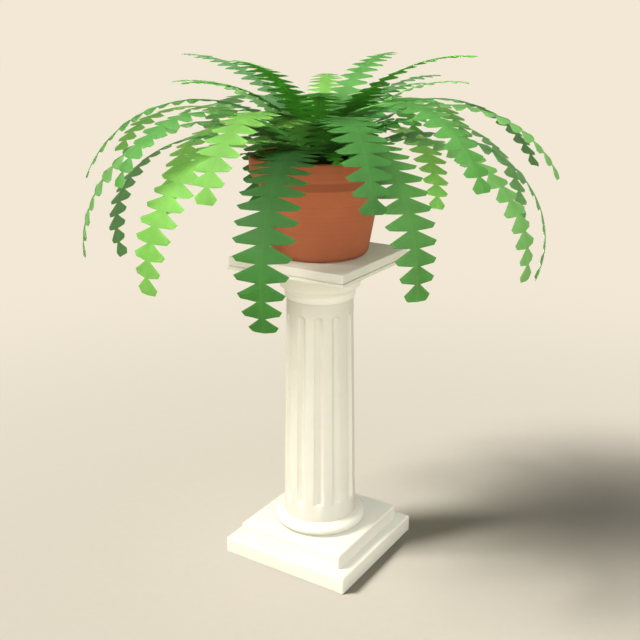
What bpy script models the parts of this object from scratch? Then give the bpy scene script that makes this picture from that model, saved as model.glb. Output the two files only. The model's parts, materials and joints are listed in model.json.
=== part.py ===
"""Potted Boston fern standing on a fluted column stand.

Units are metres, +Z is up and the origin is the middle of the stand's underside.
The stand's square sides lie along X and Y.  Every frond is one grown piece: a bare
stalk that becomes the midrib, with pairs of fan-shaped leaflets down both sides.
"""
import bpy
import bmesh
import math
import numpy as np
from mathutils import Vector

for ob in list(bpy.data.objects):
    bpy.data.objects.remove(ob, do_unlink=True)

# ---------------------------------------------------------------- dimensions
GAP = 0.0003                 # clearance between pieces that touch

SLAB_SIDE = 0.340            # lower step of the plinth
SLAB_TOP = 0.0415
STEP_SIDE = 0.284            # upper step of the plinth
STEP_TOP = 0.0762
RING_R = 0.1146              # round ring under the column
RING_TOP = 0.1040

SHAFT_R_LOW = 0.0888         # column radius at its foot and its head
SHAFT_R_HIGH = 0.0785
SHAFT_TOP = 0.6580
FLUTES = 12
FLUTE_LOW = 0.1480           # height where the flutes start and end
FLUTE_HIGH = 0.6270
FLUTE_HALF = math.radians(7.6)
FLUTE_DEPTH = 0.0072

NECK_R = 0.0830              # capital
ECHINUS_R = 0.0948
ECHINUS_LOW = 0.6862
PLATE_LOW = 0.7330
LOW_PLATE_SIDE = 0.3070
LOW_PLATE_TOP = 0.7402
TOP_PLATE_SIDE = 0.3016
TABLE_Z = 0.7612             # top of the stand

POT_Z = TABLE_Z + GAP
POT_TOP = 0.9845
POT_FOOT_R = 0.0980
POT_LOW_R = 0.1140
POT_NECK_R = 0.1385
RIM_LOW_R = 0.1570
RIM_TOP_R = 0.1594
RIM_LOW = 0.9440
WALL = 0.0095
FLOOR = 0.0120
DRAIN_R = 0.0090

SOIL_TOP = 0.9700
CROWN_R = 0.0500
CROWN_H = 0.0180

NECK_PART = 0.20             # width between two pairs, as part of the full width
FOLD = 0.06                  # how far the leaflet tips droop, as part of the half width
STALK = 0.0021               # half width of the bare stalk
RIB = 0.0013                 # half thickness at the midrib

ROUND = 40                   # sides of a round piece


# ---------------------------------------------------------------- materials
def linear(c):
    c = c / 255.0
    return c / 12.92 if c <= 0.04045 else ((c + 0.055) / 1.055) ** 2.4


def material(name, rgb, roughness, metallic=0.0):
    m = bpy.data.materials.new(name)
    m.use_nodes = True
    p = m.node_tree.nodes["Principled BSDF"]
    col = (linear(rgb[0]), linear(rgb[1]), linear(rgb[2]), 1.0)
    p.inputs["Base Color"].default_value = col
    p.inputs["Roughness"].default_value = roughness
    p.inputs["Metallic"].default_value = metallic
    m.diffuse_color = col
    return m


CAST = (236, 231, 214)
CLAY = (176, 99, 62)
EARTH = (44, 33, 24)
GREENS = {
    "bright": (139, 214, 92),
    "light": (126, 200, 104),
    "mid": (86, 158, 72),
    "leaf": (72, 140, 62),
    "olive": (110, 165, 66),
    "dull": (88, 148, 96),
    "dark": (66, 118, 66),
    "deep": (48, 112, 36),
}


# ---------------------------------------------------------------- mesh helpers
def finish(bm, name, mat, angle=35.0):
    bmesh.ops.recalc_face_normals(bm, faces=bm.faces)
    mesh = bpy.data.meshes.new(name)
    bm.to_mesh(mesh)
    bm.free()
    mesh.materials.append(mat)
    mesh.shade_smooth()
    mesh.set_sharp_from_angle(angle=math.radians(angle))
    ob = bpy.data.objects.new(name, mesh)
    bpy.context.scene.collection.objects.link(ob)
    return ob


def skin(bm, loops, cap_first=True, cap_last=True, closed=False):
    """Join equal-length closed loops of points into one skin."""
    rows = [[bm.verts.new(p) for p in loop] for loop in loops]
    n = len(rows[0])
    pairs = list(zip(rows[:-1], rows[1:]))
    if closed:
        pairs.append((rows[-1], rows[0]))
    for a, b in pairs:
        for i in range(n):
            j = (i + 1) % n
            bm.faces.new((a[i], a[j], b[j], b[i]))
    if not closed:
        if cap_first:
            bm.faces.new(list(reversed(rows[0])))
        if cap_last:
            bm.faces.new(rows[-1])
    return rows


def circle(r, z, n=ROUND):
    return [Vector((r * math.cos(2 * math.pi * i / n), r * math.sin(2 * math.pi * i / n), z))
            for i in range(n)]


def square(side, z, corner=0.004, n=ROUND):
    """A square loop with rounded corners, its points numbered like those of circle()."""
    a = side / 2.0
    flat = a - corner
    inner = n // 4 - 9
    quarter = [(a, flat * k / 4) for k in range(5)]
    for k in range(1, inner + 1):
        u = math.pi / 2 * k / (inner + 1)
        quarter.append((flat + corner * math.cos(u), flat + corner * math.sin(u)))
    quarter += [(flat * k / 4, a) for k in (4, 3, 2, 1)]
    pts = []
    for q in range(4):
        c, s = round(math.cos(q * math.pi / 2)), round(math.sin(q * math.pi / 2))
        pts += [Vector((x * c - y * s, x * s + y * c, z)) for x, y in quarter]
    return pts


def turned(name, profile, mat, closed, n=ROUND):
    """A turned piece from (radius, height) points."""
    bm = bmesh.new()
    skin(bm, [circle(r, z, n) for r, z in profile], closed=closed)
    return finish(bm, name, mat)


def arc(r0, z0, r1, z1, bulge, steps):
    """Points of a shallow arc between two (radius, height) points, ends left out."""
    out = []
    for k in range(1, steps):
        t = k / steps
        b = bulge * 4 * t * (1 - t)
        dr, dz = r1 - r0, z1 - z0
        length = math.hypot(dr, dz)
        out.append((r0 + dr * t + b * dz / length, z0 + dz * t - b * dr / length))
    return out


# ---------------------------------------------------------------- the stand
def pedestal_base(mat):
    bm = bmesh.new()
    e = 0.0045
    loops = [
        square(SLAB_SIDE - 2 * e * 0.4, 0.0),
        square(SLAB_SIDE, e * 0.5),
        square(SLAB_SIDE, SLAB_TOP - e),
        square(SLAB_SIDE - 2 * e, SLAB_TOP),
        square(STEP_SIDE, SLAB_TOP),
        square(STEP_SIDE, STEP_TOP - e),
        square(STEP_SIDE - 2 * e, STEP_TOP),
        circle(RING_R - 0.004, STEP_TOP),
    ]
    half = (RING_TOP - STEP_TOP) / 2.0
    mid = STEP_TOP + half
    for k in range(1, 8):
        u = math.radians(-70 + 160 * (k - 1) / 6)
        loops.append(circle(RING_R - half + half * math.cos(u), mid + half * math.sin(u)))
    loops.append(circle(SHAFT_R_LOW - 0.02, RING_TOP))
    skin(bm, loops)
    return finish(bm, "pedestal_base", mat)


def shaft_radius(z):
    t = (z - RING_TOP) / (SHAFT_TOP - RING_TOP)
    return SHAFT_R_LOW + (SHAFT_R_HIGH - SHAFT_R_LOW) * (t ** 1.15)


def pedestal_shaft(mat):
    """Twelve round flutes: their ends are square below and rounded above."""
    per = 8
    n = FLUTES * per

    def loop(z, depth, width):
        pts = []
        r0 = shaft_radius(z)
        for f in range(FLUTES):
            mid = 2 * math.pi * f / FLUTES
            half = FLUTE_HALF * max(width, 0.02)
            angles = [mid + half * s for s in (-1.0, -0.72, -0.3, 0.3, 0.72, 1.0)]
            depths = [0.0, 0.68, 0.97, 0.97, 0.68, 0.0]
            nxt = 2 * math.pi * (f + 1) / FLUTES - FLUTE_HALF
            first = mid + FLUTE_HALF
            angles += [first + (nxt - first) * 0.33, first + (nxt - first) * 0.67]
            depths += [0.0, 0.0]
            for a, d in zip(angles, depths):
                r = r0 - d * depth
                pts.append(Vector((r * math.cos(a), r * math.sin(a), z)))
        return pts

    rows = [(RING_TOP + GAP, 0.0, 1.0), (FLUTE_LOW, 0.0, 1.0), (FLUTE_LOW + 0.004, FLUTE_DEPTH, 1.0)]
    round_h = 0.010
    for k in range(4):
        u = k / 3 * math.pi / 2
        rows.append((FLUTE_HIGH - round_h + round_h * math.sin(u), FLUTE_DEPTH * math.cos(u) ** 0.8,
                     math.cos(u)))
    rows.append((SHAFT_TOP - GAP, 0.0, 1.0))
    bm = bmesh.new()
    skin(bm, [loop(*r) for r in rows])
    assert len(bm.verts) == n * len(rows)
    return finish(bm, "pedestal_shaft", mat, 28.0)


def pedestal_capital(mat):
    bm = bmesh.new()
    e = 0.0025
    loops = [
        circle(NECK_R - 0.0022, SHAFT_TOP),
        circle(NECK_R - 0.0004, SHAFT_TOP + 0.003),
        circle(NECK_R, SHAFT_TOP + 0.0075),
        circle(NECK_R - 0.0004, SHAFT_TOP + 0.012),
        circle(NECK_R - 0.0012, SHAFT_TOP + 0.0145),
        circle(ECHINUS_R - 0.0030, ECHINUS_LOW - 0.002),
        circle(ECHINUS_R - 0.0008, ECHINUS_LOW + 0.001),
        circle(ECHINUS_R, ECHINUS_LOW + 0.006),
        circle(ECHINUS_R, PLATE_LOW),
        square(LOW_PLATE_SIDE - 2 * e, PLATE_LOW),
        square(LOW_PLATE_SIDE, PLATE_LOW + e * 0.7),
        square(LOW_PLATE_SIDE, LOW_PLATE_TOP - e * 0.5),
        square(LOW_PLATE_SIDE - 0.0016, LOW_PLATE_TOP),
        square(TOP_PLATE_SIDE - 0.0050, LOW_PLATE_TOP),
        square(TOP_PLATE_SIDE - 0.0050, LOW_PLATE_TOP + 0.0018),
        square(TOP_PLATE_SIDE, LOW_PLATE_TOP + 0.0030),
        square(TOP_PLATE_SIDE, TABLE_Z - e),
        square(TOP_PLATE_SIDE - 2 * e, TABLE_Z),
    ]
    skin(bm, loops)
    return finish(bm, "pedestal_capital", mat)


# ---------------------------------------------------------------- pot, soil, crown
def inner_wall(z):
    """Inside radius of the pot at a height."""
    low, high = POT_Z + FLOOR, POT_TOP
    return (POT_LOW_R - WALL) + (RIM_TOP_R - 0.0125 - (POT_LOW_R - WALL)) * ((z - low) / (high - low)) ** 1.1


def pot(mat):
    out = [(DRAIN_R, POT_Z), (POT_FOOT_R, POT_Z), (POT_FOOT_R + 0.0070, POT_Z + 0.0022),
           (POT_FOOT_R + 0.0115, POT_Z + 0.0072), (POT_FOOT_R + 0.0145, POT_Z + 0.0150),
           (POT_LOW_R, POT_Z + 0.0250)]
    neck_z = 0.9235
    out += [(POT_LOW_R + (POT_NECK_R - POT_LOW_R) * t, POT_Z + 0.025 + (neck_z - POT_Z - 0.025) * t)
            for t in (0.33, 0.66, 1.0)]
    out += arc(POT_NECK_R, neck_z, RIM_LOW_R, RIM_LOW, -0.0012, 3)
    out += [(RIM_LOW_R, RIM_LOW), (RIM_LOW_R + 0.0009, RIM_LOW + 0.004), (RIM_TOP_R, POT_TOP - 0.006),
            (RIM_TOP_R - 0.0008, POT_TOP - 0.0018), (RIM_TOP_R - 0.0028, POT_TOP)]
    out += [(RIM_TOP_R - 0.0095, POT_TOP), (RIM_TOP_R - 0.0120, POT_TOP - 0.0020)]
    for t in (0.94, 0.78, 0.5, 0.2, 0.05):
        z = POT_Z + FLOOR + (POT_TOP - POT_Z - FLOOR) * t
        out.append((inner_wall(z), z))
    out += [(POT_LOW_R - WALL - 0.004, POT_Z + FLOOR), (DRAIN_R, POT_Z + FLOOR)]
    return turned("pot", out, mat, closed=True)


def soil(mat):
    low = POT_Z + FLOOR + GAP
    gap = 0.0006
    pts = [(0.030, low), (POT_LOW_R - WALL - 0.0048, low)]
    for t in (0.055, 0.2, 0.5, 0.78):
        z = POT_Z + FLOOR + (POT_TOP - POT_Z - FLOOR) * t
        pts.append((inner_wall(z) - gap, z))
    z = SOIL_TOP - 0.005
    pts += [(inner_wall(z) - gap - 0.0008, z), (inner_wall(z) - 0.004, SOIL_TOP - 0.0035),
            (0.110, SOIL_TOP - 0.0015), (0.066, SOIL_TOP), (0.022, SOIL_TOP)]
    return turned("potting_soil", pts, mat, closed=False)


def crown_height(r):
    return SOIL_TOP + GAP + CROWN_H * math.sqrt(max(0.0, 1 - (r / CROWN_R) ** 2))


def fern_crown(mat):
    z0 = SOIL_TOP + GAP
    pts = [(0.018, z0), (CROWN_R, z0)]
    for k in range(1, 6):
        u = math.radians(90 * k / 6)
        pts.append((CROWN_R * math.cos(u), z0 + CROWN_H * math.sin(u)))
    return turned("fern_crown", pts, mat, closed=False, n=28)


# ---------------------------------------------------------------- fronds
# Each row: name, azimuth (deg), length (mm), rise at the crown (deg), fall at the tip (deg),
# how late it bends, half width (mm), roll (deg), colour.
HANGING = [
    ("frond_low_01", 201, 652, 18, -111, 1.62, 60, 6, "dark"),
    ("frond_low_02", 232, 660, 39, -91, 1.15, 54, 8, "light"),
    ("frond_low_03", 260, 620, 30, -94, 1.20, 60, 10, "bright"),
    ("frond_low_04", 292, 709, 14, -120, 2.19, 60, 10, "leaf"),
    ("frond_low_05", 324, 610, 36, -93, 1.10, 56, 8, "mid"),
    ("frond_low_06", 358, 625, 25, -97, 1.40, 57, 10, "light"),
    ("frond_low_07", 20, 680, 26, -112, 1.40, 54, 10, "dull"),
    ("frond_low_08", 46, 610, 40, -86, 1.10, 54, 10, "dark"),
    ("frond_low_09", 82, 590, 24, -92, 1.40, 54, 10, "olive"),
    ("frond_low_10", 112, 600, 30, -96, 1.35, 54, 10, "mid"),
    ("frond_low_11", 144, 590, 26, -98, 1.40, 54, 10, "leaf"),
    ("frond_low_12", 177, 583, 26, -97, 1.44, 55, 8, "olive"),
]
ARCHING = [
    ("frond_mid_01", 188, 575, 27, -57, 1.79, 57, 16, "olive"),
    ("frond_mid_02", 225, 584, 49, -67, 1.16, 49, 14, "mid"),
    ("frond_mid_03", 250, 545, 35, -70, 1.68, 49, 14, "mid"),
    ("frond_mid_04", 274, 521, 47, -75, 1.28, 53, 14, "bright"),
    ("frond_mid_05", 315, 512, 45, -75, 1.26, 57, 10, "leaf"),
    ("frond_mid_06", 343, 548, 60, -66, 0.98, 55, 14, "mid"),
    ("frond_mid_07", 11, 580, 41, -63, 1.33, 49, 14, "light"),
    ("frond_mid_08", 50, 617, 47, -62, 1.06, 50, 14, "dark"),
    ("frond_mid_09", 70, 535, 43, -64, 1.30, 48, 14, "mid"),
    ("frond_mid_10", 89, 545, 53, -64, 1.05, 40, 14, "leaf"),
    ("frond_mid_11", 128, 530, 49, -66, 1.15, 50, 14, "mid"),
    ("frond_mid_12", 163, 497, 43, -71, 1.52, 50, 14, "dull"),
    ("frond_mid_13", 174, 440, 37, -22, 1.05, 40, 16, "dull"),
]
UPRIGHT = [
    ("frond_top_01", 2, 425, 66, -3, 1.00, 44, -20, "deep"),
    ("frond_top_02", 26, 358, 48, -10, 1.62, 35, 24, "light"),
    ("frond_top_03", 55, 340, 56, -3, 1.20, 36, 26, "dull"),
    ("frond_top_04", 67, 330, 50, -2, 1.14, 32, 26, "leaf"),
    ("frond_top_05", 83, 352, 70, 1, 1.20, 46, 16, "mid"),
    ("frond_top_06", 119, 395, 50, -6, 1.10, 43, 14, "bright"),
    ("frond_top_07", 146, 315, 50, -2, 1.10, 33, 26, "mid"),
    ("frond_top_08", 183, 426, 63, 0, 0.92, 46, 20, "dull"),
    ("frond_top_09", 202, 369, 48, -10, 1.48, 35, 24, "light"),
    ("frond_top_10", 232, 348, 61, -7, 1.05, 36, 24, "deep"),
    ("frond_top_11", 256, 319, 71, 4, 1.29, 60, 10, "deep"),
    ("frond_top_12", 302, 330, 60, -8, 1.05, 45, 16, "deep"),
    ("frond_top_13", 272, 175, 70, 22, 1.00, 32, 24, "deep"),
    ("frond_top_14", 342, 236, 52, 18, 2.05, 62, 10, "deep"),
]
YOUNG = [
    ("frond_young_01", 12, 165, 42, 12, 1.00, 28, 12, "leaf"),
    ("frond_young_02", 50, 160, 42, 12, 1.00, 28, 12, "mid"),
    ("frond_young_03", 86, 165, 42, 12, 1.00, 28, 12, "leaf"),
    ("frond_young_04", 122, 165, 42, 12, 1.00, 28, 12, "dull"),
    ("frond_young_05", 152, 155, 42, 12, 1.00, 26, 12, "leaf"),
    ("frond_young_06", 205, 150, 49, 14, 1.00, 23, 12, "dark"),
    ("frond_young_07", 224, 140, 46, 18, 1.00, 21, 12, "mid"),
    ("frond_young_08", 239, 168, 54, 5, 1.10, 27, 12, "leaf"),
    ("frond_young_09", 283, 225, 50, -22, 1.60, 46, 8, "olive"),
    ("frond_young_10", 309, 200, 48, -8, 1.30, 38, 10, "deep"),
    ("frond_young_11", 340, 160, 42, 12, 1.00, 28, 12, "leaf"),
    ("frond_young_12", 333, 150, 20, -22, 1.20, 24, 8, "leaf"),
    ("frond_young_13", 315, 140, 19, -25, 1.20, 21, 8, "deep"),
    ("frond_young_14", 246, 185, 10, -2, 1.00, 30, -16, "leaf"),
]
# tier, radius of the foot, where the leaflets start, spacing of the leaflet pairs
TIERS = ((HANGING, 0.041, 0.040, 0.0335), (ARCHING, 0.025, 0.045, 0.0310),
         (UPRIGHT, 0.014, 0.035, 0.0245), (YOUNG, 0.033, 0.020, 0.0220))
# fronds whose leaflet pairs sit closer together than their tier's
CLOSE_SET = {"frond_top_11": 0.0185, "frond_top_14": 0.0185}


def midline(azimuth, length, rise, fall, late, foot, n=160):
    """Points and tangent angles along a frond that bends down in its own vertical plane."""
    s = np.linspace(0.0, 1.0, n)
    ang = np.radians(rise + (fall - rise) * s ** late)
    ds = length / (n - 1)
    mid = 0.5 * (ang[1:] + ang[:-1])
    r = foot[0] + np.concatenate([[0.0], np.cumsum(np.cos(mid) * ds)])
    z = foot[1] + np.concatenate([[0.0], np.cumsum(np.sin(mid) * ds)])
    return s * length, r, z, ang


def half_width(s, length, widest, start):
    """Leaflet reach at a distance along the frond."""
    t = s / length
    ramp = min(0.16, 0.62 * length)
    grow = min(1.0, max(0.0, (s - start) / ramp))
    grow = 0.24 + 0.76 * math.sin(grow * math.pi / 2) ** 1.05
    fade = 1.0 if t < 0.5 else 1.0 - 0.60 * ((t - 0.5) / 0.5) ** 3.2
    return widest * grow * fade


def stations(length, widest, start, pitch):
    """Pairs (distance, half width) down the frond: neck, widest, neck, ..."""
    count = max(4, round((length - start) / pitch))
    step = (length - start) / count
    rows = [(0.0, STALK), (start, STALK)]
    for k in range(count):
        s0 = start + k * step
        w = half_width(s0 + 0.7 * step, length, widest, start)
        if k:
            rows.append((s0, max(STALK, NECK_PART * w)))
        rows.append((s0 + 0.70 * step, w))
    rows.append((length, 0.60 * w))
    return rows


def frond(row, foot_r, start, pitch, mat):
    name, azimuth, length, rise, fall, late, widest, roll, _ = row
    length, widest = length / 1000.0, widest / 1000.0
    foot = (foot_r, crown_height(foot_r) + 0.0032)
    dist, r, z, ang = midline(azimuth, length, rise, fall, late, foot)
    az = math.radians(azimuth)
    out = Vector((math.cos(az), math.sin(az), 0.0))
    side = Vector((-math.sin(az), math.cos(az), 0.0))
    bm = bmesh.new()
    loops = []
    for s, w in stations(length, widest, start, pitch):
        rr, zz, a = (float(np.interp(s, dist, q)) for q in (r, z, ang))
        tangent = out * math.cos(a) + Vector((0, 0, math.sin(a)))
        up = tangent.cross(side)
        twist = math.radians(roll) * max(0.0, 1 - s / (0.62 * length))
        across = side * math.cos(twist) + up * math.sin(twist)
        normal = up * math.cos(twist) - side * math.sin(twist)
        p = out * rr + Vector((0, 0, zz))
        thick = RIB * (1.0 - 0.55 * s / length)
        drop = FOLD * w if w > STALK * 1.01 else 0.0
        loops.append([p + across * w - normal * drop, p + normal * thick,
                      p - across * w - normal * drop, p - normal * thick])
    skin(bm, loops)
    return finish(bm, name, mat, 60.0)


def build():
    pedestal_base(material("cast_base", CAST, 0.62))
    pedestal_shaft(material("cast_shaft", CAST, 0.62))
    pedestal_capital(material("cast_capital", CAST, 0.62))
    pot(material("terracotta", CLAY, 0.78))
    soil(material("soil", EARTH, 0.95))
    fern_crown(material("crown", (70, 74, 34), 0.85))
    for rows, foot_r, start, pitch in TIERS:
        for row in rows:
            close = CLOSE_SET.get(row[0], pitch)
            frond(row, foot_r, start, close, material("leaf_" + row[0], GREENS[row[8]], 0.55))


build()
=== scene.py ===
"""Looks for the potted Boston fern on its fluted column stand."""
import json
import math

import bpy
import numpy as np
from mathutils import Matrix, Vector

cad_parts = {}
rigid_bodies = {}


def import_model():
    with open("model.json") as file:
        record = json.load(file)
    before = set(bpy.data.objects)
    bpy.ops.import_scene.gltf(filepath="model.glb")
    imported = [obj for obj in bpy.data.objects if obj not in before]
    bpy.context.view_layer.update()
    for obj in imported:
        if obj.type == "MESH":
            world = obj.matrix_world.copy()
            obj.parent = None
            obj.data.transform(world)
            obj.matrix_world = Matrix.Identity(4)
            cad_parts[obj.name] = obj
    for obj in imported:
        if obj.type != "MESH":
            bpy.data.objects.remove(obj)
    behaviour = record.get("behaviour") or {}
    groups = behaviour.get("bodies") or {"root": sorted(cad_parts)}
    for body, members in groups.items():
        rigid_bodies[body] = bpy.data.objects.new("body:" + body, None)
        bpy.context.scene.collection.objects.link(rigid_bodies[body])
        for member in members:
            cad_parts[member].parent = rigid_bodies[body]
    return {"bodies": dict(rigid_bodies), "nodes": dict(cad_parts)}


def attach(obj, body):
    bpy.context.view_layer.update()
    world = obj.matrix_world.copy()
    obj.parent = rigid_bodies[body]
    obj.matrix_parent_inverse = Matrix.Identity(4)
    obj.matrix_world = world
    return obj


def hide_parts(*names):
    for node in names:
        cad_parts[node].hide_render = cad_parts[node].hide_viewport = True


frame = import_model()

kept = set(frame["nodes"].values()) | set(frame["bodies"].values())
for ob in list(bpy.data.objects):
    if ob not in kept:
        bpy.data.objects.remove(ob, do_unlink=True)

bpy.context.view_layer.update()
scene = bpy.context.scene
scene.view_settings.view_transform = "Standard"
scene.view_settings.look = "None"

# ---------------------------------------------------------------- sizes, as in the CAD
GAP = 0.0003
SLAB_SIDE, SLAB_TOP = 0.340, 0.0415
STEP_SIDE, STEP_TOP = 0.284, 0.0762
RING_R, RING_TOP = 0.1146, 0.1040
SHAFT_R_LOW, SHAFT_R_HIGH, SHAFT_TOP = 0.0888, 0.0785, 0.6580
FLUTES, FLUTE_LOW, FLUTE_HIGH = 12, 0.1480, 0.6270
FLUTE_HALF, FLUTE_DEPTH = math.radians(7.6), 0.0072
NECK_R, ECHINUS_R, ECHINUS_LOW = 0.0830, 0.0948, 0.6862
PLATE_LOW, LOW_PLATE_SIDE, LOW_PLATE_TOP = 0.7330, 0.3070, 0.7402
TOP_PLATE_SIDE, TABLE_Z = 0.3016, 0.7612
POT_Z, POT_TOP = TABLE_Z + GAP, 0.9845
POT_FOOT_R, POT_LOW_R, POT_NECK_R = 0.0980, 0.1140, 0.1385
RIM_LOW_R, RIM_TOP_R, RIM_LOW = 0.1570, 0.1594, 0.9440
WALL, FLOOR, DRAIN_R = 0.0095, 0.0120, 0.0090
SOIL_TOP, CROWN_R, CROWN_H = 0.9700, 0.0500, 0.0180
NECK_PART, FOLD, ROLL_PART, STALK = 0.21, 0.055, 0.25, 0.0021

# ---------------------------------------------------------------- looks
GREENS = {            # upper side, under side; the under sides are paler than a fern's own, partly painted light that stands in for light through the blade
    "bright": ((99, 153, 61), (98, 152, 68)),
    "light": ((101, 153, 78), (104, 155, 86)),
    "mid": ((71, 127, 53), (83, 137, 64)),
    "leaf": ((51, 106, 38), (63, 118, 46)),
    "olive": ((92, 140, 50), (133, 208, 93)),
    "dull": ((82, 126, 72), (112, 175, 98)),
    "dark": ((68, 124, 59), (97, 155, 88)),
    "deep": ((64, 131, 38), (82, 158, 50)),
}
STONE = (236, 232, 215)
CLAY = (205, 114, 71)
EARTH = (40, 30, 21)
BACK = (242, 232, 213)
FLOOR_TONE = (242, 233, 219)


def linear(c):
    c = c / 255.0
    return c / 12.92 if c <= 0.04045 else ((c + 0.055) / 1.055) ** 2.4


def rgba(c, k=1.0):
    return (linear(c[0]) * k, linear(c[1]) * k, linear(c[2]) * k, 1.0)


# ---------------------------------------------------------------- camera
AZ, EL, DIST, AIM = math.radians(32.36), math.radians(18.2), 2.1026, 0.5957
cam_data = bpy.data.cameras.new("camera")
cam_data.lens, cam_data.sensor_width = 50.0, 36.0
cam = bpy.data.objects.new("camera", cam_data)
scene.collection.objects.link(cam)
toward = Vector((math.sin(AZ) * math.cos(EL), -math.cos(AZ) * math.cos(EL), math.sin(EL)))
cam.location = Vector((0, 0, AIM)) + toward * DIST
cam.rotation_mode = "QUATERNION"
cam.rotation_quaternion = (-toward).to_track_quat("-Z", "Y")
scene.camera = cam


# ---------------------------------------------------------------- mesh helpers
def mesh_piece(name, verts, faces, mat, angle=40.0, attributes=None):
    mesh = bpy.data.meshes.new(name)
    mesh.from_pydata([tuple(v) for v in verts], [], faces)
    mesh.materials.append(mat)
    for key, values in (attributes or {}).items():
        mesh.attributes.new(key, "FLOAT", "POINT").data.foreach_set(
            "value", np.asarray(values, np.float32))
    mesh.shade_smooth()
    mesh.set_sharp_from_angle(angle=math.radians(angle))
    ob = bpy.data.objects.new(name, mesh)
    scene.collection.objects.link(ob)
    return ob


def loft_faces(rows, n, closed):
    faces = []
    last = rows if closed else rows - 1
    for r in range(last):
        a, b = r * n, ((r + 1) % rows) * n
        for i in range(n):
            j = (i + 1) % n
            faces.append((a + i, a + j, b + j, b + i))
    if not closed:
        faces.append(tuple(reversed(range(n))))
        faces.append(tuple(range((rows - 1) * n, rows * n)))
    return faces


def facing_out(ob):
    """Turn the faces so that the closed skin faces outwards."""
    import bmesh
    bm = bmesh.new()
    bm.from_mesh(ob.data)
    bmesh.ops.recalc_face_normals(bm, faces=bm.faces)
    bm.to_mesh(ob.data)
    bm.free()
    return ob


def loft(name, loops, mat, closed=False, angle=40.0, attributes=None):
    n = len(loops[0])
    verts = [p for loop in loops for p in loop]
    return facing_out(mesh_piece(name, verts, loft_faces(len(loops), n, closed), mat, angle,
                                 attributes))


ROUND = 144


def circle(r, z, n=ROUND):
    a = 2 * np.pi * np.arange(n) / n
    return [(r * math.cos(t), r * math.sin(t), z) for t in a]


def square(side, z, corner=0.0045, n=ROUND):
    """A square loop with rounded corners, numbered like circle()."""
    a = side / 2.0
    corner = min(corner, a * 0.5)
    flat = a - corner
    inner = n // 4 - 17
    quarter = [(a, flat * k / 8) for k in range(9)]
    for k in range(1, inner + 1):
        u = math.pi / 2 * k / (inner + 1)
        quarter.append((flat + corner * math.cos(u), flat + corner * math.sin(u)))
    quarter += [(flat * k / 8, a) for k in range(8, 0, -1)]
    pts = []
    for q in range(4):
        c, s = round(math.cos(q * math.pi / 2)), round(math.sin(q * math.pi / 2))
        pts += [(x * c - y * s, x * s + y * c, z) for x, y in quarter]
    return pts


def eased_edge(side, z, radius, upper, steps=4, corner=0.0045):
    """Loops of a rounded edge: upper True runs from the side onto the top."""
    out = []
    for k in range(steps + 1):
        u = math.pi / 2 * k / steps
        if upper:
            out.append(square(side - 2 * radius * (1 - math.cos(u)), z - radius + radius * math.sin(u), corner))
        else:
            out.append(square(side - 2 * radius * (1 - math.sin(u)), z + radius - radius * math.cos(u), corner))
    return out


# ---------------------------------------------------------------- shader helpers
class Shader:
    """A small helper that adds nodes to one material and links them."""

    def __init__(self, name, roughness):
        self.mat = bpy.data.materials.new(name)
        self.mat.use_nodes = True
        self.tree = self.mat.node_tree
        self.main = self.tree.nodes["Principled BSDF"]
        self.main.inputs["Roughness"].default_value = roughness
        self.place = self.node("ShaderNodeTexCoord").outputs["Object"]

    def node(self, kind, **settings):
        n = self.tree.nodes.new(kind)
        for key, value in settings.items():
            setattr(n, key, value)
        return n

    def put(self, socket, value):
        if isinstance(value, bpy.types.NodeSocket):
            self.tree.links.new(value, socket)
        else:
            socket.default_value = value

    def math(self, operation, a, b=0.0, c=0.0, clamp=False):
        n = self.node("ShaderNodeMath", operation=operation, use_clamp=clamp)
        for socket, value in zip(n.inputs, (a, b, c)):
            self.put(socket, value)
        return n.outputs[0]

    def attribute(self, name):
        return self.node("ShaderNodeAttribute", attribute_name=name).outputs["Fac"]

    def noise(self, scale, detail=3.0, rough=0.55, stretch=(1, 1, 1)):
        at = self.node("ShaderNodeMapping")
        self.put(at.inputs["Vector"], self.place)
        at.inputs["Scale"].default_value = stretch
        n = self.node("ShaderNodeTexNoise")
        self.put(n.inputs["Vector"], at.outputs["Vector"])
        n.inputs["Scale"].default_value = scale
        n.inputs["Detail"].default_value = detail
        n.inputs["Roughness"].default_value = rough
        return n.outputs["Fac"]

    def spots(self, scale):
        n = self.node("ShaderNodeTexVoronoi")
        self.put(n.inputs["Vector"], self.place)
        n.inputs["Scale"].default_value = scale
        return n.outputs["Distance"]

    def range(self, value, low, high, out_low, out_high):
        n = self.node("ShaderNodeMapRange")
        for socket, v in zip(n.inputs, (value, low, high, out_low, out_high)):
            self.put(socket, v)
        return n.outputs[0]

    def mix(self, part, a, b, blend="MIX"):
        n = self.node("ShaderNodeMix", data_type="RGBA", blend_type=blend)
        self.put(n.inputs["Factor"], part)
        self.put(n.inputs["A"] if n.inputs["A"].type == "RGBA" else n.inputs[6], a)
        self.put(n.inputs["B"] if n.inputs["B"].type == "RGBA" else n.inputs[7], b)
        return n.outputs[2]

    def bump(self, height, distance, strength=1.0):
        n = self.node("ShaderNodeBump")
        n.inputs["Strength"].default_value = strength
        n.inputs["Distance"].default_value = distance
        self.put(n.inputs["Height"], height)
        self.put(self.main.inputs["Normal"], n.outputs["Normal"])

    def colour(self, value):
        self.put(self.main.inputs["Base Color"], value)

    def rough(self, value):
        self.put(self.main.inputs["Roughness"], value)


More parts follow.
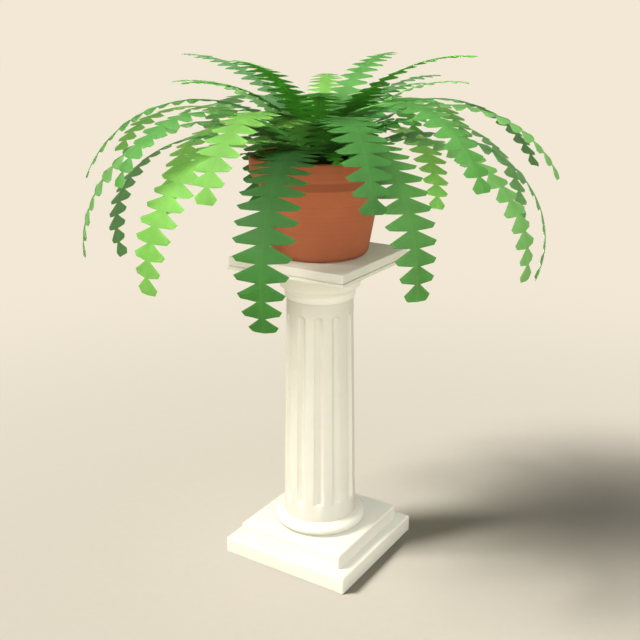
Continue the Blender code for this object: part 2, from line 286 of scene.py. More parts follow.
def stone_material(name, seed, k, pale=None):
    """Painted cast stone: a smooth cream coat over a faintly pitted casting; below height pale the colour is lighter, a
    painted light on the capital's round part, which lies in the shade of the plate.
    """
    s = Shader(name, 0.6)
    cloud = s.noise(7.0 + seed, 4.0)
    fine = s.noise(260.0, 3.0)
    grain = s.noise(900.0, 2.0)
    pits = s.range(s.spots(300.0), 0.0, 0.22, 0.0, 1.0)
    tone = s.mix(s.range(cloud, 0.35, 0.65, 0.0, 1.0), rgba(STONE, 0.965 * k), rgba(STONE, 1.02 * k))
    # Below height pale the colour is lighter: painted light on the shaded round part of the capital.
    if pale is not None:
        height_on = s.node("ShaderNodeSeparateXYZ")
        s.put(height_on.inputs[0], s.place)
        tone = s.mix(s.range(height_on.outputs["Z"], pale + 0.001, pale - 0.001, 0.0, 1.0), tone, rgba((247, 245, 230)))
    tone = s.mix(s.range(pits, 0.0, 1.0, 0.10, 0.0), tone, rgba((196, 184, 158)))
    s.colour(s.mix(s.range(fine, 0.4, 0.7, 0.0, 0.06), tone, rgba((214, 204, 180))))
    s.rough(s.range(fine, 0.3, 0.7, 0.54, 0.70))
    height = s.math("ADD", s.math("MULTIPLY", grain, 0.35), s.math("MULTIPLY", pits, 0.65))
    s.bump(height, 0.00025, 0.5)
    return s.mat


def clay_material():
    """Terracotta: matt, faintly ringed from the wheel, with fine grog; darker towards the foot and in a band under the
    rim, both painted shade.
    """
    s = Shader("terracotta", 0.8)
    cloud = s.noise(9.0, 4.0)
    grog = s.noise(420.0, 3.0)
    rings = s.noise(1.0, 2.0, 0.5, (2.0, 2.0, 210.0))
    tone = s.mix(s.range(cloud, 0.35, 0.65, 0.0, 1.0), rgba(CLAY, 0.93), rgba(CLAY, 1.05))
    tone = s.mix(s.range(rings, 0.4, 0.65, 0.0, 0.10), tone, rgba((150, 80, 48)))
    tone = s.mix(s.range(grog, 0.55, 0.75, 0.0, 0.16), tone, rgba((206, 134, 92)))
    tone = s.mix(s.range(grog, 0.42, 0.30, 0.0, 0.18), tone, rgba((120, 62, 38)))
    height_on = s.node("ShaderNodeSeparateXYZ")
    s.put(height_on.inputs[0], s.place)
    # Darker towards the foot: painted shade where little light bounces up from the capital.
    painted_foot_shade = s.range(height_on.outputs["Z"], TABLE_Z, 0.90, 0.60, 0.0)
    # A darker band round the downward-facing chamfer under the rim: painted shade.
    under = s.range(s.math("ABSOLUTE", s.math("SUBTRACT", height_on.outputs["Z"], 0.9335)), 0.0125, 0.0085, 0.0, 0.6)
    tone = s.mix(painted_foot_shade, tone, rgba((148, 82, 52)))
    s.colour(s.mix(under, tone, rgba((138, 74, 44))))
    s.rough(s.range(grog, 0.3, 0.7, 0.72, 0.88))
    height = s.math("ADD", s.math("MULTIPLY", grog, 0.4), s.math("MULTIPLY", rings, 0.6))
    s.bump(height, 0.0005, 0.35)
    return s.mat


def soil_material():
    s = Shader("potting_mix", 0.95)
    crumbs = s.noise(140.0, 5.0, 0.7)
    tone = s.mix(s.range(crumbs, 0.35, 0.65, 0.0, 1.0), rgba(EARTH, 0.5), rgba(EARTH, 1.5))
    s.colour(s.mix(s.range(s.noise(60.0), 0.6, 0.7, 0.0, 0.5), tone, rgba((84, 62, 40))))
    s.bump(crumbs, 0.002, 0.9)
    return s.mat


def crown_material():
    s = Shader("scaly_crown", 0.85)
    scales = s.spots(170.0)
    tone = s.mix(s.range(scales, 0.1, 0.6, 0.0, 1.0), rgba((92, 84, 40)), rgba((44, 42, 18)))
    s.colour(s.mix(s.range(s.noise(40.0), 0.45, 0.65, 0.0, 0.6), tone, rgba((56, 84, 30))))
    s.bump(scales, 0.0012, 0.8)
    return s.mat


def leaf_material(name, tone, seed, green_lightness, shade, near=0.0, far=0.45):
    """A fern blade: veins that fan out from the midrib, an under side paler than a fern's own, partly painted light
    through the blade, a soft sheen; painted shade towards the crown and painted light and shade along the length.
    """
    upper, under = GREENS[tone]
    s = Shader("leaf_" + name, 0.55)
    rng = np.random.default_rng(seed)
    k = green_lightness * (1.0 + rng.uniform(-0.05, 0.05))
    fan, side, rib, along, edge, light = (s.attribute(a) for a in ("fan", "under", "rib", "along", "edge", "light"))
    s.put(s.main.inputs["Specular IOR Level"], s.math("MULTIPLY", s.math("MINIMUM", light, 1.0), 0.20))
    vein = s.math("POWER", s.math("ABSOLUTE", s.math("SINE", s.math("MULTIPLY", fan, 34.0))), 10.0)
    vein = s.math("MULTIPLY", vein, s.range(edge, 0.9, 1.0, 1.0, 0.3))
    cloud = s.noise(22.0, 3.0)
    fine = s.noise(240.0, 3.0)
    top = s.mix(s.range(cloud, 0.36, 0.64, 0.0, 1.0), rgba(upper, 0.90 * k), rgba(upper, 1.08 * k))
    low = s.mix(s.range(cloud, 0.36, 0.64, 0.0, 1.0), rgba(under, 0.92 * k), rgba(under, 1.06 * k))
    both = s.mix(side, top, low)
    pale = tuple(min(255, int(c * 1.10 + 22)) for c in upper)
    deep = tuple(int(c * 0.80) for c in upper)
    both = s.mix(s.range(fine, 0.45, 0.75, 0.0, 0.16), both, rgba(deep))
    both = s.mix(s.math("MULTIPLY", vein, 0.14), both, rgba(pale))
    both = s.mix(s.range(edge, 0.55, 1.0, 0.0, 0.10), both, rgba(pale))
    # Painted shade: the blade darkens towards the crown, where the foliage above shades it.
    both = s.mix(s.range(along, near, far, shade, 0.0), both, rgba((int(upper[0] * 0.50), int(upper[1] * 0.65), int(upper[2] * 0.42))))
    both = s.mix(s.math("MULTIPLY", rib, 0.05), both, rgba((138, 150, 70)))
    lit = s.node("ShaderNodeVectorMath", operation="SCALE")
    s.put(lit.inputs[0], both)
    s.put(lit.inputs["Scale"], light)
    s.colour(lit.outputs["Vector"])
    s.rough(s.range(fine, 0.3, 0.7, 0.50, 0.66))
    height = s.math("ADD", s.math("MULTIPLY", vein, 0.75), s.math("MULTIPLY", fine, 0.35))
    s.bump(height, 0.00035, 0.55)
    return s.mat


# ---------------------------------------------------------------- the stand
def stand_base():
    e = 0.0045
    loops = eased_edge(SLAB_SIDE, 0.0, 0.0018, False)
    loops += eased_edge(SLAB_SIDE, SLAB_TOP, e, True, 6)
    loops += [square(STEP_SIDE + 0.0012, SLAB_TOP), square(STEP_SIDE, SLAB_TOP + 0.0008)]
    loops += eased_edge(STEP_SIDE, STEP_TOP, e, True, 6)
    loops += [circle(RING_R - 0.004, STEP_TOP)]
    half = (RING_TOP - STEP_TOP) / 2.0
    mid = STEP_TOP + half
    for k in range(19):
        u = math.radians(-70 + 160 * k / 18)
        loops.append(circle(RING_R - half + half * math.cos(u), mid + half * math.sin(u)))
    loops.append(circle(SHAFT_R_LOW - 0.02, RING_TOP))
    return loft("plinth", loops, stone_material("cast_plinth", 0.0, 0.93))


def shaft_radius(z):
    t = (z - RING_TOP) / (SHAFT_TOP - RING_TOP)
    return SHAFT_R_LOW + (SHAFT_R_HIGH - SHAFT_R_LOW) * (max(0.0, t) ** 1.15)


def stand_shaft():
    """Twelve flutes, square below and rounded above."""
    across = np.linspace(-1.0, 1.0, 13)
    hollow = np.cos(across * np.pi / 2) ** 0.8

    def loop(z, depth, width):
        pts, r0 = [], shaft_radius(z)
        for f in range(FLUTES):
            mid = 2 * math.pi * f / FLUTES
            half = FLUTE_HALF * max(width, 0.02)
            for a, d in zip(across, hollow):
                r, t = r0 - d * depth, mid + half * a
                pts.append((r * math.cos(t), r * math.sin(t), z))
            first = mid + FLUTE_HALF
            nxt = 2 * math.pi * (f + 1) / FLUTES - FLUTE_HALF
            for k in (0.25, 0.5, 0.75):
                t = first + (nxt - first) * k
                pts.append((r0 * math.cos(t), r0 * math.sin(t), z))
        return pts

    rows = [(RING_TOP + GAP, 0.0, 1.0), (FLUTE_LOW - 0.0015, 0.0, 1.0), (FLUTE_LOW, 0.0006, 1.0),
            (FLUTE_LOW + 0.0035, FLUTE_DEPTH, 1.0)]
    rows += [(z, FLUTE_DEPTH, 1.0) for z in np.linspace(0.20, 0.60, 6)]
    round_h = 0.010
    for k in range(9):
        u = k / 8 * math.pi / 2
        rows.append((FLUTE_HIGH - round_h + round_h * math.sin(u),
                     FLUTE_DEPTH * max(0.0, math.cos(u)) ** 0.8, math.cos(u)))
    rows.append((SHAFT_TOP - GAP, 0.0, 1.0))
    # The column's stone is darker (0.89) than the plinth's and capital's: a painted shade that tones down its brightly
    # lit side.
    return loft("column", [loop(*r) for r in rows], stone_material("cast_column", 1.3, 0.89), angle=50.0)


def stand_capital():
    loops = [circle(NECK_R - 0.0022, SHAFT_TOP)]
    for k in range(9):
        u = math.radians(-80 + 160 * k / 8)
        loops.append(circle(NECK_R - 0.0024 + 0.0024 * math.cos(u), SHAFT_TOP + 0.0075 + 0.0068 * math.sin(u)))
    loops += [circle(NECK_R - 0.0014, SHAFT_TOP + 0.0160), circle(ECHINUS_R - 0.0036, ECHINUS_LOW - 0.002),
              circle(ECHINUS_R - 0.0012, ECHINUS_LOW - 0.0004), circle(ECHINUS_R - 0.0003, ECHINUS_LOW + 0.003),
              circle(ECHINUS_R, ECHINUS_LOW + 0.006), circle(ECHINUS_R, PLATE_LOW)]
    loops += [square(LOW_PLATE_SIDE - 0.005, PLATE_LOW)]
    loops += eased_edge(LOW_PLATE_SIDE, PLATE_LOW, 0.0012, False, 3)
    loops += eased_edge(LOW_PLATE_SIDE, LOW_PLATE_TOP, 0.0010, True, 3)
    loops += [square(TOP_PLATE_SIDE - 0.0050, LOW_PLATE_TOP), square(TOP_PLATE_SIDE - 0.0050, LOW_PLATE_TOP + 0.0018)]
    loops += eased_edge(TOP_PLATE_SIDE, LOW_PLATE_TOP + 0.0018, 0.0010, False, 3)
    loops += eased_edge(TOP_PLATE_SIDE, TABLE_Z, 0.0022, True, 5)
    return loft("capital", loops, stone_material("cast_capital", 2.1, 0.97, PLATE_LOW))


# ---------------------------------------------------------------- pot, soil, crown
def inner_wall(z):
    low, high = POT_Z + FLOOR, POT_TOP
    t = max(0.0, (z - low) / (high - low))
    return (POT_LOW_R - WALL) + (RIM_TOP_R - 0.0125 - (POT_LOW_R - WALL)) * t ** 1.1


def clay_pot():
    out = [(DRAIN_R, POT_Z), (POT_FOOT_R - 0.004, POT_Z)]
    for k in range(9):
        u = math.pi / 2 * k / 8
        out.append((POT_FOOT_R + 0.0150 * math.sin(u), POT_Z + 0.0190 * (1 - math.cos(u))))
    neck_z = 0.9235
    out += [(POT_LOW_R + (POT_NECK_R - POT_LOW_R) * t, POT_Z + 0.025 + (neck_z - POT_Z - 0.025) * t)
            for t in np.linspace(0.0, 1.0, 14)]
    out += [(POT_NECK_R + (RIM_LOW_R - POT_NECK_R) * t + 0.0008 * math.sin(math.pi * t),
             neck_z + (RIM_LOW - neck_z) * t) for t in (0.12, 0.35, 0.6, 0.85, 0.97)]
    out += [(RIM_LOW_R + 0.0005, RIM_LOW + 0.0012), (RIM_LOW_R + 0.0009, RIM_LOW + 0.004),
            (RIM_TOP_R - 0.0006, 0.965), (RIM_TOP_R, POT_TOP - 0.006)]
    for k in range(1, 7):
        u = math.pi / 2 * k / 6
        out.append((RIM_TOP_R - 0.0045 * (1 - math.cos(u)), POT_TOP - 0.0060 + 0.0060 * math.sin(u)))
    out += [(RIM_TOP_R - 0.0085, POT_TOP), (RIM_TOP_R - 0.0110, POT_TOP - 0.0009),
            (RIM_TOP_R - 0.0122, POT_TOP - 0.0030)]
    for t in (0.94, 0.78, 0.5, 0.2, 0.05):
        z = POT_Z + FLOOR + (POT_TOP - POT_Z - FLOOR) * t
        out.append((inner_wall(z), z))
    out += [(POT_LOW_R - WALL - 0.004, POT_Z + FLOOR), (DRAIN_R, POT_Z + FLOOR)]
    return loft("clay_pot", [circle(r, z) for r, z in out], clay_material(), closed=True)


def soil_bed():
    """A crumbly bed: a turned body whose top is broken into lumps."""
    rng = np.random.default_rng(11)
    low = POT_Z + FLOOR + GAP
    rings = [(0.030, low), (POT_LOW_R - WALL - 0.0048, low)]
    for t in (0.055, 0.2, 0.5, 0.78):
        z = POT_Z + FLOOR + (POT_TOP - POT_Z - FLOOR) * t
        rings.append((inner_wall(z) - 0.0006, z))
    rings.append((inner_wall(SOIL_TOP - 0.005) - 0.0014, SOIL_TOP - 0.005))
    plain = len(rings)
    rings += [(r, SOIL_TOP) for r in np.linspace(inner_wall(SOIL_TOP) - 0.003, 0.006, 44)]
    waves = [(rng.uniform(60, 420), rng.uniform(0, 2 * math.pi), rng.uniform(0, 6.28)) for _ in range(16)]
    loops = []
    for k, (r, z) in enumerate(rings):
        loop = []
        for x, y, _ in circle(r, z):
            lift = 0.0
            if k >= plain:
                lift = sum(math.sin(f * (x * math.cos(a) + y * math.sin(a)) + p) for f, a, p in waves)
                lift = 0.0007 * lift + rng.uniform(-0.0007, 0.0007)
                lift = max(-0.004, min(0.004, lift)) - 0.0015
            loop.append((x, y, z + lift))
        loops.append(loop)
    return loft("soil_bed", loops, soil_material(), angle=70.0)


def crown_height(r):
    return SOIL_TOP + GAP + CROWN_H * math.sqrt(max(0.0, 1 - (r / CROWN_R) ** 2))


def crown_mound():
    rng = np.random.default_rng(5)
    z0 = SOIL_TOP + GAP
    loops = [circle(0.018, z0, 96), circle(CROWN_R, z0, 96)]
    for k in range(1, 20):
        u = math.radians(90 * k / 20.5)
        loop = []
        for x, y, z in circle(CROWN_R * math.cos(u), z0 + CROWN_H * math.sin(u), 96):
            s = 1.0 + rng.uniform(-0.018, 0.018)
            loop.append((x * s, y * s, z + rng.uniform(-0.0008, 0.0008)))
        loops.append(loop)
    return loft("crown_mound", loops, crown_material(), angle=70.0)


# ---------------------------------------------------------------- fronds
# name, azimuth (deg), length (mm), rise at the crown, fall at the tip, how late it bends,
# half width (mm), roll (deg), colour
HANGING = [
    ("low_01", 201, 652, 18, -111, 1.62, 60, 6, "dark"),
    ("low_02", 232, 660, 39, -91, 1.15, 54, 8, "light"),
    ("low_03", 260, 620, 30, -94, 1.20, 60, 10, "bright"),
    ("low_04", 292, 709, 14, -120, 2.19, 60, 10, "leaf"),
    ("low_05", 324, 610, 36, -93, 1.10, 56, 8, "mid"),
    ("low_06", 358, 625, 25, -97, 1.40, 57, 10, "light"),
    ("low_07", 20, 680, 26, -112, 1.40, 54, 10, "dull"),
    ("low_08", 46, 610, 40, -86, 1.10, 54, 10, "dark"),
    ("low_09", 82, 590, 24, -92, 1.40, 54, 10, "olive"),
    ("low_10", 112, 600, 30, -96, 1.35, 54, 10, "mid"),
    ("low_11", 144, 590, 26, -98, 1.40, 54, 10, "leaf"),
    ("low_12", 177, 583, 26, -97, 1.44, 55, 8, "olive"),
]
ARCHING = [
    ("mid_01", 188, 575, 27, -57, 1.79, 57, 16, "olive"),
    ("mid_02", 225, 584, 49, -67, 1.16, 49, 14, "mid"),
    ("mid_03", 250, 545, 35, -70, 1.68, 49, 14, "mid"),
    ("mid_04", 274, 521, 47, -75, 1.28, 53, 14, "bright"),
    ("mid_05", 315, 512, 45, -75, 1.26, 57, 10, "leaf"),
    ("mid_06", 343, 548, 60, -66, 0.98, 55, 14, "mid"),
    ("mid_07", 11, 580, 41, -63, 1.33, 49, 14, "light"),
    ("mid_08", 50, 617, 47, -62, 1.06, 50, 14, "dark"),
    ("mid_09", 70, 535, 43, -64, 1.30, 48, 14, "mid"),
    ("mid_10", 89, 545, 53, -64, 1.05, 40, 14, "leaf"),
    ("mid_11", 128, 530, 49, -66, 1.15, 50, 14, "mid"),
    ("mid_12", 163, 497, 43, -71, 1.52, 50, 14, "dull"),
    ("mid_13", 174, 440, 37, -22, 1.05, 40, 16, "dull"),
]
UPRIGHT = [
    ("top_01", 2, 425, 66, -3, 1.00, 44, -20, "deep"),
    ("top_02", 26, 358, 48, -10, 1.62, 35, 24, "light"),
    ("top_03", 55, 340, 56, -3, 1.20, 36, 26, "dull"),
    ("top_04", 67, 330, 50, -2, 1.14, 32, 26, "leaf"),
    ("top_05", 83, 352, 70, 1, 1.20, 46, 16, "mid"),
    ("top_06", 119, 395, 50, -6, 1.10, 43, 14, "bright"),
    ("top_07", 146, 315, 50, -2, 1.10, 33, 26, "mid"),
    ("top_08", 183, 426, 63, 0, 0.92, 46, 20, "dull"),
    ("top_09", 202, 369, 48, -10, 1.48, 35, 24, "light"),
    ("top_10", 232, 348, 61, -7, 1.05, 36, 24, "deep"),
    ("top_11", 256, 319, 71, 4, 1.29, 60, 10, "deep"),
    ("top_12", 302, 330, 60, -8, 1.05, 45, 16, "deep"),
    ("top_13", 272, 175, 70, 22, 1.00, 32, 24, "deep"),
    ("top_14", 342, 236, 52, 18, 2.05, 62, 10, "deep"),
]
YOUNG = [
    ("young_01", 12, 165, 42, 12, 1.00, 28, 12, "leaf"),
    ("young_02", 50, 160, 42, 12, 1.00, 28, 12, "mid"),
    ("young_03", 86, 165, 42, 12, 1.00, 28, 12, "leaf"),
    ("young_04", 122, 165, 42, 12, 1.00, 28, 12, "dull"),
    ("young_05", 152, 155, 42, 12, 1.00, 26, 12, "leaf"),
    ("young_06", 205, 150, 49, 14, 1.00, 23, 12, "dark"),
    ("young_07", 224, 140, 46, 18, 1.00, 21, 12, "mid"),
    ("young_08", 239, 168, 54, 5, 1.10, 27, 12, "leaf"),
    ("young_09", 283, 225, 50, -22, 1.60, 46, 8, "olive"),
    ("young_10", 309, 200, 48, -8, 1.30, 38, 10, "deep"),
    ("young_11", 340, 160, 42, 12, 1.00, 28, 12, "leaf"),
    ("young_12", 333, 150, 20, -22, 1.20, 24, 8, "leaf"),
    ("young_13", 315, 140, 19, -25, 1.20, 21, 8, "deep"),
    ("young_14", 246, 185, 10, -2, 1.00, 30, -16, "leaf"),
]
# tier, radius of the foot, where the leaflets start, spacing of the pairs, how light the green is,
# how much painted shade it gets towards the crown
TIERS = ((HANGING, 0.041, 0.022, 0.0335, 0.84, 0.75), (ARCHING, 0.025, 0.022, 0.0310, 0.84, 0.15),
         (UPRIGHT, 0.014, 0.020, 0.0245, 0.84, 0.05), (YOUNG, 0.033, 0.012, 0.0220, 1.45, 0.0))
# fronds whose leaflet pairs sit closer together than their tier's
CLOSE_SET = {"top_11": 0.0185, "top_14": 0.0185}
# Fronds in the shaded core: they get a lighter green, a painted light.
INNER = ("top_12", "top_13", "top_14")

# Fronds that differ from their tier: how light the green is against it, partly the frond's own tone and partly painted
# light and shade, and the painted shade towards the crown with the part of the length over which it goes.
OWN_TONE = {
    "low_04": (1.00, 1.00, 0.45, 0.95), "low_05": (0.82, 0.60, 0.00, 0.45),
    "mid_05": (0.88, 0.15, 0.00, 0.45), "top_01": (1.05, 0.90, 0.18, 0.45),
    "top_03": (0.76, 1.00, 0.30, 0.60), "top_05": (1.02, 0.95, 0.33, 0.44),
    "top_08": (0.92, 0.50, 0.20, 0.50), "top_09": (1.00, 0.60, 0.25, 0.55),
    "top_11": (1.40, 0.05, 0.00, 0.45), "top_12": (0.82, 0.75, 0.72, 0.55),
    "young_09": (0.74, 0.50, 0.10, 0.60),
}

# Painted light and shade along the fronds, lightness factors in place of the light each part gets: (part of the length,
# light factor) stops.
ALONG = {
    "low_02": ((0.0, 0.88),), "low_03": ((0.0, 1.06),),
    "low_04": ((0.0, 0.35), (0.25, 0.40), (0.40, 0.68), (0.70, 0.78), (0.85, 0.92), (1.0, 1.25)),
    "low_05": ((0.40, 1.0), (0.60, 0.78), (0.80, 0.86), (1.0, 1.0)),
    "low_07": ((0.0, 1.45),), "low_08": ((0.2, 3.5), (0.45, 1.6)), "low_12": ((0.0, 1.22),),
    "mid_01": ((0.0, 1.12),), "mid_03": ((0.28, 4.2), (0.45, 1.06)),
    "mid_04": ((0.24, 1.6), (0.33, 0.35), (0.44, 0.35), (0.51, 0.88), (0.8, 0.97), (1.0, 1.08)),
    "mid_05": ((0.07, 0.70), (0.22, 1.05), (0.40, 1.25), (0.55, 1.12), (0.70, 0.93), (1.0, 0.82)),
    "mid_06": ((0.22, 1.2), (0.36, 2.4), (0.50, 0.82), (0.65, 1.0)),
    "mid_08": ((0.2, 2.0), (0.37, 1.4), (0.7, 1.0)), "mid_09": ((0.3, 3.2), (0.67, 2.6), (0.9, 2.1)),
    "mid_10": ((0.5, 2.8), (0.8, 2.4), (1.0, 1.7)), "mid_12": ((0.0, 1.35),), "mid_13": ((0.0, 1.45),),
    "top_01": ((0.45, 1.0), (0.60, 1.4)), "top_02": ((0.4, 1.45), (0.8, 1.15)), "top_03": ((0.0, 1.12),),
    "top_04": ((0.5, 2.8), (0.7, 2.1)), "top_08": ((0.55, 1.0), (0.85, 1.25)),
    "top_11": ((0.3, 0.65), (0.45, 0.80), (0.60, 1.0), (0.85, 1.15)),
    "top_12": ((0.37, 0.90), (0.52, 1.2), (0.60, 0.90), (0.70, 0.75), (1.0, 0.60)),
    "top_13": ((0.0, 0.72),), "top_14": ((0.5, 0.32), (0.7, 0.42), (0.9, 0.60)),
    "young_02": ((0.0, 1.6),), "young_09": ((0.5, 0.90), (0.66, 0.62), (1.0, 0.62)),
    "young_10": ((0.4, 0.72), (0.55, 0.42)), "young_12": ((0.0, 1.2),), "young_13": ((0.0, 1.1),),
    "young_14": ((0.0, 0.55),),
}

# One pair of leaflets: how far along it, and its reach as part of the full width.
PAIR = ((0.0, NECK_PART), (0.30, 0.60), (0.585, 0.98), (0.605, 1.0), (0.63, 0.99), (0.855, 0.87),
        (0.88, 0.83), (1.0, NECK_PART))
PHASES = (0.0, 0.10, 0.22, 0.34, 0.46, 0.54, 0.585, 0.605, 0.63, 0.75, 0.855, 0.88, 0.94)
LAST = ((0.0, NECK_PART), (0.58, 0.97), (0.64, 1.0), (0.90, 0.82), (0.97, 0.74), (1.0, 0.66))
ACROSS = np.array([-1.0, -0.96, -0.84, -0.66, -0.46, -0.26, -0.12, -0.045, 0.0,
                   0.045, 0.12, 0.26, 0.46, 0.66, 0.84, 0.96, 1.0])


def midline(length, rise, fall, late, foot, n=240):
    s = np.linspace(0.0, 1.0, n)
    ang = np.radians(rise + (fall - rise) * s ** late)
    ds = length / (n - 1)
    mid = 0.5 * (ang[1:] + ang[:-1])
    r = foot[0] + np.concatenate([[0.0], np.cumsum(np.cos(mid) * ds)])
    z = foot[1] + np.concatenate([[0.0], np.cumsum(np.sin(mid) * ds)])
    return s * length, r, z, ang


def reach(s, length, widest, start):
    t = s / length
    ramp = min(0.07, 0.3 * length)
    grow = min(1.0, max(0.0, (s - start) / ramp))
    grow = 0.72 + 0.28 * math.sin(grow * math.pi / 2)
    fade = 1.0 if t < 0.5 else 1.0 - 0.60 * ((t - 0.5) / 0.5) ** 3.2
    return widest * grow * fade


def frond(row, foot_r, start, pitch, green_lightness, shade, seed):
    name, azimuth, length, rise, fall, late, widest, roll, tone = row
    length, widest = length / 1000.0, widest / 1000.0
    rng = np.random.default_rng(seed)
    foot = (foot_r, crown_height(foot_r) + 0.0032)
    dist, rr, zz, ang = midline(length, rise, fall, late, foot)
    az = math.radians(azimuth)
    out = np.array([math.cos(az), math.sin(az), 0.0])
    side = np.array([-math.sin(az), math.cos(az), 0.0])
    count = max(4, round((length - start) / pitch))
    step = (length - start) / count

    stations = [(0.0, STALK, 0.0, 0.0, 0.0), (start * 0.5, STALK, 0.0, 0.0, 0.0)]
    for k in range(count):
        s0 = start + k * step
        full = reach(s0 + 0.7 * step, length, widest, start) * (1 + rng.uniform(-0.02, 0.02))
        tilt = math.radians(rng.uniform(-2.5, 2.5))
        last = k == count - 1
        shape = LAST if last else PAIR
        marks = (0.0, 0.12, 0.26, 0.40, 0.50, 0.58, 0.61, 0.64, 0.76, 0.88, 0.93, 0.97, 1.0) if last else PHASES
        xs, ys = zip(*shape)
        for p in marks:
            w = max(STALK, full * float(np.interp(p, xs, ys)))
            if k == 0 and p == 0.0:
                w = STALK
            stations.append((s0 + p * step, w, p, tilt, 1.0))

    half = len(ACROSS)
    verts, attr = [], {a: [] for a in ("fan", "under", "rib", "along", "edge", "light")}
    stops, lights = zip(*ALONG.get(name, ((0.0, 1.0),)))
    for s, w, phase, tilt, blade in stations:
        r, z, a = (float(np.interp(s, dist, q)) for q in (rr, zz, ang))
        tangent = out * math.cos(a) + np.array([0, 0, math.sin(a)])
        up = np.cross(tangent, side)
        twist = math.radians((roll * ROLL_PART if roll > 0 else roll)) * max(0.0, 1 - s / (0.62 * length)) + tilt * blade
        across = side * math.cos(twist) + up * math.sin(twist)
        normal = up * math.cos(twist) - side * math.sin(twist)
        p = out * r + np.array([0, 0, z])
        t = s / length
        x = ACROSS * w
        size = np.abs(ACROSS)
        drop = FOLD * w * size ** 1.3 if blade else np.zeros(half)
        shingle = 0.0016 * phase * size * blade
        rib_shape = np.exp(-(x / 0.0016) ** 2)
        taper = 1.0 - 0.6 * t
        if blade:
            thin = 0.00030 * (1.0 - 0.6 * size)
            top = thin + 0.00008 * taper * rib_shape
            low = thin + 0.00240 * (1.0 - 0.45 * t) * rib_shape
        else:
            top = low = 0.0016 * np.sqrt(np.clip(1.0 - size ** 2, 0.02, 1.0))
        light = float(np.interp(t, stops, lights))
        fan = np.arctan2(np.abs(x), (phase + 0.10) * step) * (2 / math.pi)
        for which, thick, order in ((0.0, top, range(half)), (1.0, -low, range(half - 1, -1, -1))):
            for i in order:
                verts.append(p + across * x[i] + normal * (thick[i] - drop[i] - shingle[i]))
                attr["fan"].append(fan[i])
                attr["under"].append(which)
                attr["rib"].append(rib_shape[i])
                attr["along"].append(t)
                attr["edge"].append(size[i])
                attr["light"].append(light)
    # The inner fronds get a lighter green: painted light in the shaded core.
    green_lightness = 1.35 if name in INNER else green_lightness
    scale, *span = OWN_TONE.get(name, (1.0, shade, 0.0, 0.45))
    mat = leaf_material(name, tone, seed, green_lightness * scale, *span)
    piece = mesh_piece("fern_" + name, verts, loft_faces(len(stations), 2 * half, False), mat, 75.0, attr)
    return facing_out(piece)


# ---------------------------------------------------------------- put together
OBJECT = bpy.data.collections.new("object")
LEAVES = bpy.data.collections.new("leaves")
STAND = bpy.data.collections.new("stand")


def place(piece, node):
    OBJECT.objects.link(piece)
    if node.startswith("frond"):
        LEAVES.objects.link(piece)
    if node.startswith("pedestal"):
        STAND.objects.link(piece)
    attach(piece, "root")
    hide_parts(node)
    return piece


plinth = place(stand_base(), "pedestal_base")
plinth.visible_diffuse = False      # keeps its white faces from throwing a glow on the floor
place(stand_shaft(), "pedestal_shaft")
place(stand_capital(), "pedestal_capital")
place(clay_pot(), "pot")
place(soil_bed(), "potting_soil")
place(crown_mound(), "fern_crown")
seed = 100
for rows, foot_r, start, pitch, green_lightness, shade in TIERS:
    for row in rows:
        seed += 1
        close = CLOSE_SET.get(row[0], pitch)
        place(frond(row, foot_r, start, close, green_lightness, shade, seed), "frond_" + row[0])


# ---------------------------------------------------------------- floor, world, lights
def stage_floor():
    """A wide pale floor that fades into a glow of the backdrop's tone with distance from a point to the front right of
    the object, so the floor round that point stays darker: a painted shade.
    """
    s = Shader("studio_floor", 0.9)
    s.main.inputs["Specular IOR Level"].default_value = 0.1
    s.colour(s.mix(s.range(s.noise(40.0), 0.4, 0.6, 0.0, 1.0), rgba(FLOOR_TONE, 0.945), rgba(FLOOR_TONE, 0.955)))
    glow = s.node("ShaderNodeEmission")
    glow.inputs["Color"].default_value = rgba(BACK)
    glow.inputs["Strength"].default_value = 1.0
    length = s.node("ShaderNodeVectorMath", operation="LENGTH")
    shifted = s.node("ShaderNodeVectorMath", operation="SUBTRACT")
    s.put(shifted.inputs[0], s.place)
    # The fade is centred off to the front right: the painted shade of the floor lies there.
    shifted.inputs[1].default_value = (0.45, -0.45, 0.0)
    s.put(length.inputs[0], shifted.outputs["Vector"])
    far = s.node("ShaderNodeMapRange", interpolation_type="SMOOTHSTEP")
    s.put(far.inputs[0], length.outputs["Value"])
    far.inputs[1].default_value = 0.6
    far.inputs[2].default_value = 3.4
    both = s.node("ShaderNodeMixShader")
    s.put(both.inputs[0], far.outputs[0])
    s.put(both.inputs[1], s.main.outputs[0])
    s.put(both.inputs[2], glow.outputs[0])
    s.put(s.tree.nodes["Material Output"].inputs["Surface"], both.outputs[0])
    verts, faces = [(0.0, 0.0, -0.0006)], []
    n = 96
    for ring in (1.0, 3.0, 8.0, 40.0):
        verts += [(ring * math.cos(2 * math.pi * i / n), ring * math.sin(2 * math.pi * i / n), -0.0006)
                  for i in range(n)]
    faces += [(0, 1 + i, 1 + (i + 1) % n) for i in range(n)]
    for k in range(3):
        a, b = 1 + k * n, 1 + (k + 1) * n
        faces += [(a + i, b + i, b + (i + 1) % n, a + (i + 1) % n) for i in range(n)]
    floor = mesh_piece("floor", verts, faces, s.mat)
    return floor


stage_floor()

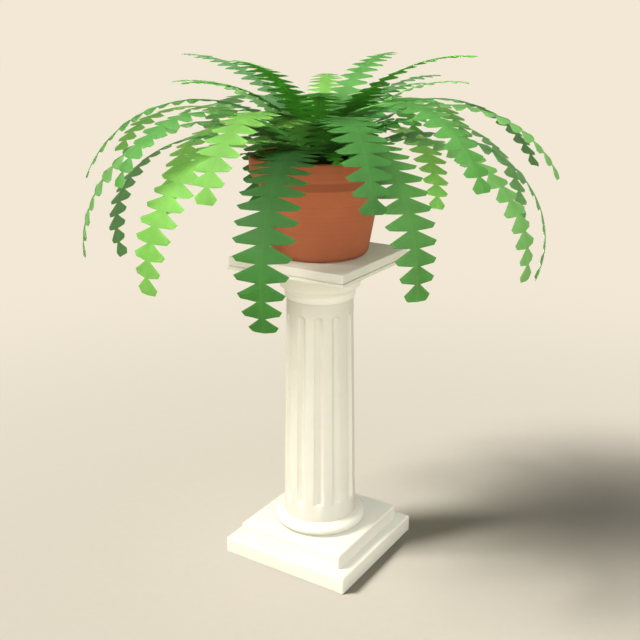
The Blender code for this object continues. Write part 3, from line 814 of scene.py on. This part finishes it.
world = bpy.data.worlds.new("studio")
scene.world = world
world.use_nodes = True
tree = world.node_tree
for n in list(tree.nodes):
    tree.nodes.remove(n)
seen = tree.nodes.new("ShaderNodeBackground")
seen.inputs["Color"].default_value = rgba(BACK)
seen.inputs["Strength"].default_value = 1.0
lit = tree.nodes.new("ShaderNodeBackground")
lit.inputs["Color"].default_value = (1.0, 0.98, 0.94, 1.0)
lit.inputs["Strength"].default_value = 0.12
path = tree.nodes.new("ShaderNodeLightPath")
mixed = tree.nodes.new("ShaderNodeMixShader")
end = tree.nodes.new("ShaderNodeOutputWorld")
tree.links.new(path.outputs["Is Camera Ray"], mixed.inputs[0])
tree.links.new(lit.outputs[0], mixed.inputs[1])
tree.links.new(seen.outputs[0], mixed.inputs[2])
tree.links.new(mixed.outputs[0], end.inputs["Surface"])


def sun_light(name, azimuth, elevation, strength, spread, colour, only=None, shadow=True):
    """A distant soft light: spread is its width in degrees as the object sees it."""
    data = bpy.data.lights.new(name, "SUN")
    data.energy = strength
    data.angle = math.radians(spread)
    data.color = colour
    data.use_shadow = shadow
    ob = bpy.data.objects.new(name, data)
    scene.collection.objects.link(ob)
    a, e = math.radians(azimuth), math.radians(elevation)
    back = Vector((math.cos(a) * math.cos(e), math.sin(a) * math.cos(e), math.sin(e)))
    ob.location = Vector((0, 0, 0.6)) + back * 4.0
    ob.rotation_mode = "QUATERNION"
    ob.rotation_quaternion = (-back).to_track_quat("-Z", "Y")
    if only is not None:
        ob.light_linking.receiver_collection = only
    return ob


sun_light("key", 223.2, 46.5, 3.35, 18.0, (1.0, 0.985, 0.93))
sun_light("fill", 322, 19, 1.20, 50.0, (0.97, 0.99, 1.0), OBJECT)
sun_light("dome", 300, 78, 1.60, 120.0, (0.97, 0.99, 1.0), OBJECT)
sun_light("lift", 312, 30, 0.45, 80.0, (1.0, 0.995, 0.985), OBJECT, False)
sun_light("stand_top", 300, 60, 0.38, 120.0, (1.0, 0.995, 0.985), STAND, False)
sun_light("leaf_front", 305, 25, 3.0, 100.0, (1.0, 1.0, 0.96), LEAVES, False)
sun_light("leaf_top", 300, 80, 0.70, 120.0, (1.0, 1.0, 0.96), LEAVES, False)
